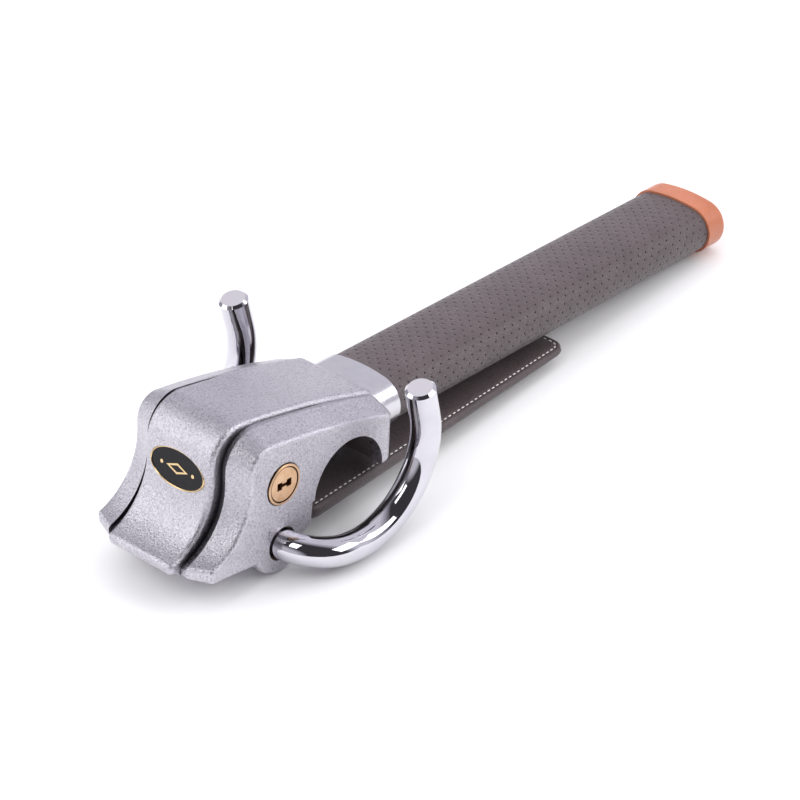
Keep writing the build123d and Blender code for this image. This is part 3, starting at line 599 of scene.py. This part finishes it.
def pad_outline(inset, spacing=0.0016):
    """The pad's plan outline drawn smaller by the inset, as points going round."""
    front = pad_front + inset
    far = pad_length - inset
    radius = max(pad_corner - inset, least_corner)

    def half_width(x):
        return pad_root_half_width - pad_slope * (x + pad_thickness / 2) - inset / math.cos(pad_lean)

    corners = [Vector((x, side * half_width(x)))
               for x, side in ((front, -1), (far, -1), (far, 1), (front, 1))]
    arcs = [rounded_corner(corners[k - 1], corners[k], corners[(k + 1) % 4], radius) for k in range(4)]
    points = []
    for k, (start, end, centre, turn) in enumerate(arcs):
        steps = max(3, round(turn * radius / spacing))
        first_angle = math.atan2(start.y - centre.y, start.x - centre.x)
        for n in range(steps + 1):
            angle = first_angle + turn * n / steps
            points.append((centre.x + radius * math.cos(angle), centre.y + radius * math.sin(angle)))
        stop = arcs[(k + 1) % 4][0]
        count = max(2, round((stop - end).length / spacing))
        points += [tuple(end.lerp(stop, n / count)) for n in range(1, count)]
    return points


def edge_distance(x, y):
    """How far inside the pad's plan outline a point is."""
    side = (pad_root_half_width - pad_slope * (x + pad_thickness / 2) - abs(y)) * math.cos(pad_lean)
    front = x + pad_thickness / 2
    far = pad_length - x
    nearest = min(side, front, far)
    for end in (front, far):
        if side < pad_corner and end < pad_corner:
            nearest = pad_corner - math.hypot(pad_corner - side, pad_corner - end)
    slot_end = slot_back - slot_half_width
    to_slot = math.hypot(max(x - slot_end, 0.0), abs(y) - ear_y) - slot_half_width
    return min(nearest, to_slot)


def slot_edge(ear, inset):
    """Open line round the slot for one ear, drawn wider by the inset."""
    radius = slot_half_width + inset
    centre = slot_back - slot_half_width
    turns = [math.radians(-90 + 180 / slot_steps * k) for k in range(slot_steps + 1)]
    line = [(centre + radius * math.cos(turn), ear + radius * math.sin(turn)) for turn in turns]
    fore = pad_front - slot_overrun
    return [(fore, ear - radius)] + line + [(fore, ear + radius)]


def share_along(x):
    """0 at the pad's hinge rod and 1 at its far end."""
    return min(max(x / pad_length, 0.0), 1.0)


def pad_middle(x):
    """Height of the pad's mid plane. The pad thins from below, so its top stays straight."""
    return (pad_thickness - pad_end_thickness) / 2 * share_along(x)


def pad_half_height(x, distance):
    """Half thickness of the pad: rolled edge, a sewn channel, and a filled middle."""
    roll_share, edge_share = 0.72, 0.90
    channel_width, channel_depth = 0.00065, 0.00045
    fill_height, fill_reach = 0.0005, 0.006
    full = (pad_thickness + (pad_end_thickness - pad_thickness) * share_along(x)) / 2
    roll = min(full, stitch_inset * roll_share)
    d = min(max(distance, 0.0), roll)
    edge = math.sqrt(max(roll**2 - (roll - d) ** 2, 0.0)) / roll
    groove = math.exp(-((distance - stitch_inset) / channel_width) ** 2) * channel_depth
    fill = fill_height * (1 - math.exp(-max(distance - stitch_inset, 0) / fill_reach))
    return full * (edge_share * edge) + fill - groove


def pad_plan():
    """Plan points of the pad, and the lines along them that its triangles must keep."""
    points, lines = [], []
    for inset in pad_insets:
        ring = pad_outline(inset)
        start = len(points)
        points += ring
        lines += [(start + n, start + (n + 1) % len(ring)) for n in range(len(ring))]
    for ear in (-ear_y, ear_y):
        for inset in slot_insets:
            line = slot_edge(ear, inset)
            start = len(points)
            points += line
            lines += [(start + n, start + n + 1) for n in range(len(line) - 1)]
    for i in range(inner_columns):
        for j in range(-inner_half_rows, inner_half_rows + 1):
            x, y = inner_start + i * inner_spacing, (j + 0.5 * (i % 2)) * inner_spacing
            if edge_distance(x, y) > pad_insets[-1] + inner_margin:
                points.append((x, y))
    return points, lines


def pad_triangles():
    """Plan points of the pad, the triangles inside its outline, and the points of its rim."""
    plan, lines = pad_plan()
    points, _, triangles, *_ = delaunay_2d_cdt([Vector(p) for p in plan], lines, [], 1, 1e-6)
    kept = []
    uses = {}
    for corners in triangles:
        middle = sum((points[corner] for corner in corners), Vector((0, 0))) / 3
        if edge_distance(middle.x, middle.y) < 0:
            continue
        kept.append(corners)
        for n in range(3):
            edge = frozenset((corners[n - 1], corners[n]))
            uses[edge] = uses.get(edge, 0) + 1
    return points, kept, {corner for edge, count in uses.items() if count == 1 for corner in edge}


def soft_pad():
    """The pad's leather as one closed form, with slots for the two ears of its bracket."""
    plan, triangles, rim = pad_triangles()
    top, bottom = {}, {}
    points = []
    for number in sorted({corner for corners in triangles for corner in corners}):
        p = plan[number]
        height = 0.0 if number in rim else pad_half_height(p.x, edge_distance(p.x, p.y))
        top[number] = bottom[number] = len(points)
        points.append(on_pad(p.x, p.y, pad_middle(p.x) + height))
        # the two faces of the pad share the points round its rim
        if number not in rim:
            bottom[number] = len(points)
            points.append(on_pad(p.x, p.y, pad_middle(p.x) - height))
    faces = []
    for a, b, c in triangles:
        if not {a, b, c} <= rim:
            faces.append([top[a], top[b], top[c]])
            faces.append([bottom[c], bottom[b], bottom[a]])
    used = sorted({corner for face in faces for corner in face})
    renumbered = {old: new for new, old in enumerate(used)}
    points = [points[old] for old in used]
    faces = [[renumbered[corner] for corner in face] for face in faces]
    return new_piece("pad_leather_cover", points, faces, "pad", [pad_leather])


pad = soft_pad()
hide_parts("pad_cover", "pad_core")


stitch_length = 0.0021
stitch_gap = 0.00115
stitch_spacing = 0.0008
thread_radius = 0.00038
thread_sides = 8
thread_flatness = 0.8
thread_rise, thread_sink = 0.55, 0.25
heading_step = 0.0002
ear_margin = 0.001
# Places of a stitch's rings, as shares of its length from its middle.
stations = (-0.5, -0.42, -0.25, 0.0, 0.25, 0.42, 0.5)


class Path:
    """A closed line of plan points that can be walked by its length."""

    def __init__(self, points):
        self.loop = [*points, points[0]]
        self.lengths = [0.0]
        for a, b in zip(self.loop, self.loop[1:]):
            self.lengths.append(self.lengths[-1] + math.dist(a, b))
        self.total = self.lengths[-1]

    def at(self, s):
        s %= self.total
        n = max(i for i in range(len(self.lengths) - 1) if self.lengths[i] <= s)
        t = (s - self.lengths[n]) / (self.lengths[n + 1] - self.lengths[n])
        a, b = self.loop[n], self.loop[n + 1]
        return (a[0] + (b[0] - a[0]) * t, a[1] + (b[1] - a[1]) * t)


def off_the_ears(x, y):
    return x > slot_back or abs(abs(y) - ear_y) > slot_half_width + ear_margin


def stitch_ring(path, s, station, side_of_pad):
    """Points round the thread at one place of a stitch. It dips in at both ends."""
    here = path.at(s)
    ahead = path.at(s + heading_step)
    heading = Vector((ahead[0] - here[0], ahead[1] - here[1])).normalized()
    thick = thread_radius * math.sqrt(max(1 - (2 * station) ** 4, 0.02))
    lift = thread_radius * thread_rise * (1 - (2 * station) ** 2) - thread_radius * thread_sink
    surface = pad_middle(here[0]) + side_of_pad * pad_half_height(here[0], stitch_inset)
    points = []
    for k in range(thread_sides):
        turn = 2 * math.pi * k / thread_sides
        side = math.cos(turn) * thick
        rise = lift + math.sin(turn) * thick * thread_flatness
        points.append(on_pad(here[0] - heading.y * side, here[1] + heading.x * side,
                             surface + side_of_pad * rise))
    return points


def stitches(name, side_of_pad):
    """Thread round the pad: a run of short rounded stitches. The top is side 1, the underside -1."""
    path = Path(pad_outline(stitch_inset, stitch_spacing))
    count = round(path.total / (stitch_length + stitch_gap))
    pitch = path.total / count
    points, faces = [], []
    for number in range(count):
        middle = (number + 0.5) * pitch
        if not off_the_ears(*path.at(middle)):
            continue
        first = len(points)
        for station in stations:
            points += stitch_ring(path, middle + station * stitch_length, station, side_of_pad)
        for ring in range(len(stations) - 1):
            for k in range(thread_sides):
                n = (k + 1) % thread_sides
                a = first + ring * thread_sides
                b = a + thread_sides
                faces.append([a + k, a + n, b + n, b + k])
        faces.append([first + k for k in range(thread_sides)][::-1])
        faces.append([first + (len(stations) - 1) * thread_sides + k for k in range(thread_sides)])
    if side_of_pad < 0:
        faces = [corners[::-1] for corners in faces]
    return new_piece(name, points, faces, "pad", [thread])


for name, side_of_pad in (("pad_stitches_top", 1), ("pad_stitches_bottom", -1)):
    made = stitches(name, side_of_pad)
    made.parent = pad
    made.matrix_parent_inverse = pad.matrix_world.inverted()

# ---- studio ----

floor_reach = 6
floor_gap = 0.0002
floor_mesh = bpy.data.meshes.new("floor")
floor_mesh.from_pydata([(x * floor_reach, y * floor_reach, 0)
                        for x, y in ((-1, -1), (1, -1), (1, 1), (-1, 1))], [], [(0, 1, 2, 3)])
floor = bpy.data.objects.new("floor", floor_mesh)
floor.location.z = -floor_gap
bpy.context.scene.collection.objects.link(floor)
paper = Shader("floor_paper")
paper.set(
    Base_Color=paper.mix(paper.noise(3, 2), (0.86, 0.86, 0.87), (0.90, 0.90, 0.90)),
    Roughness=paper.span(paper.noise(400, 2), 0.3, 0.7, 0.8, 0.9),
)
floor_mesh.materials.append(paper.material)


def towards(azimuth, elevation):
    """Unit direction out from the lock. Azimuth 0 is its key side and 90 its handle's end."""
    a, e = math.radians(azimuth), math.radians(elevation)
    return Vector((math.sin(a) * math.cos(e), -math.cos(a) * math.cos(e), math.sin(e)))


# The room is dim, with pale walls behind the handle and low in front.
room = bpy.data.worlds.new("studio")
room.use_nodes = True
bpy.context.scene.world = room
sky = Nodes(room.node_tree)
direction = sky.coordinates.outputs["Generated"]
dim_room = (0.055, 0.052, 0.058)
walls = (
    # azimuth, elevation, angle where it is full, angle where it ends, colour
    (108, 12, 62, 86, (0.80, 0.78, 0.86)),
    (-165, 10, 25, 60, (0.45, 0.44, 0.48)),
    (-92, 0, 18, 40, (0.70, 0.69, 0.74)),
)
light_colour = None
for azimuth, elevation, full, ends, colour in walls:
    facing = sky.node("ShaderNodeVectorMath", operation="DOT_PRODUCT")
    sky.put(direction, facing.inputs[0])
    facing.inputs[1].default_value = towards(azimuth, elevation)
    share = sky.span(facing.outputs["Value"],
                     math.cos(math.radians(ends)), math.cos(math.radians(full)))
    light_colour = sky.mix(share, light_colour or dim_room, colour)
sky.put(light_colour, sky.tree.nodes["Background"].inputs["Color"])


def softbox(name, azimuth, elevation, distance, size, power, glossy=True):
    """An area light on a sphere round the lock, facing it."""
    light = bpy.data.lights.new(name, "AREA")
    light.shape = "RECTANGLE"
    light.size, light.size_y = size
    light.energy = power
    made = bpy.data.objects.new(name, light)
    made.location = towards(azimuth, elevation) * distance
    made.rotation_mode = "QUATERNION"
    made.rotation_quaternion = (-towards(azimuth, elevation)).to_track_quat("-Z", "Y")
    made.visible_glossy = glossy
    bpy.context.scene.collection.objects.link(made)


softbox("overhead_light", 0, 89, 2.6, (7.0, 7.0), 150, glossy=False)
softbox("right_softbox", 32, 33, 2.2, (1.8, 1.0), 19)
softbox("left_softbox", -132, 34, 2.1, (1.5, 1.5), 15)
softbox("front_softbox", -82, 54, 2.1, (0.5, 1.1), 5)

bpy.context.scene.view_settings.view_transform = "Standard"
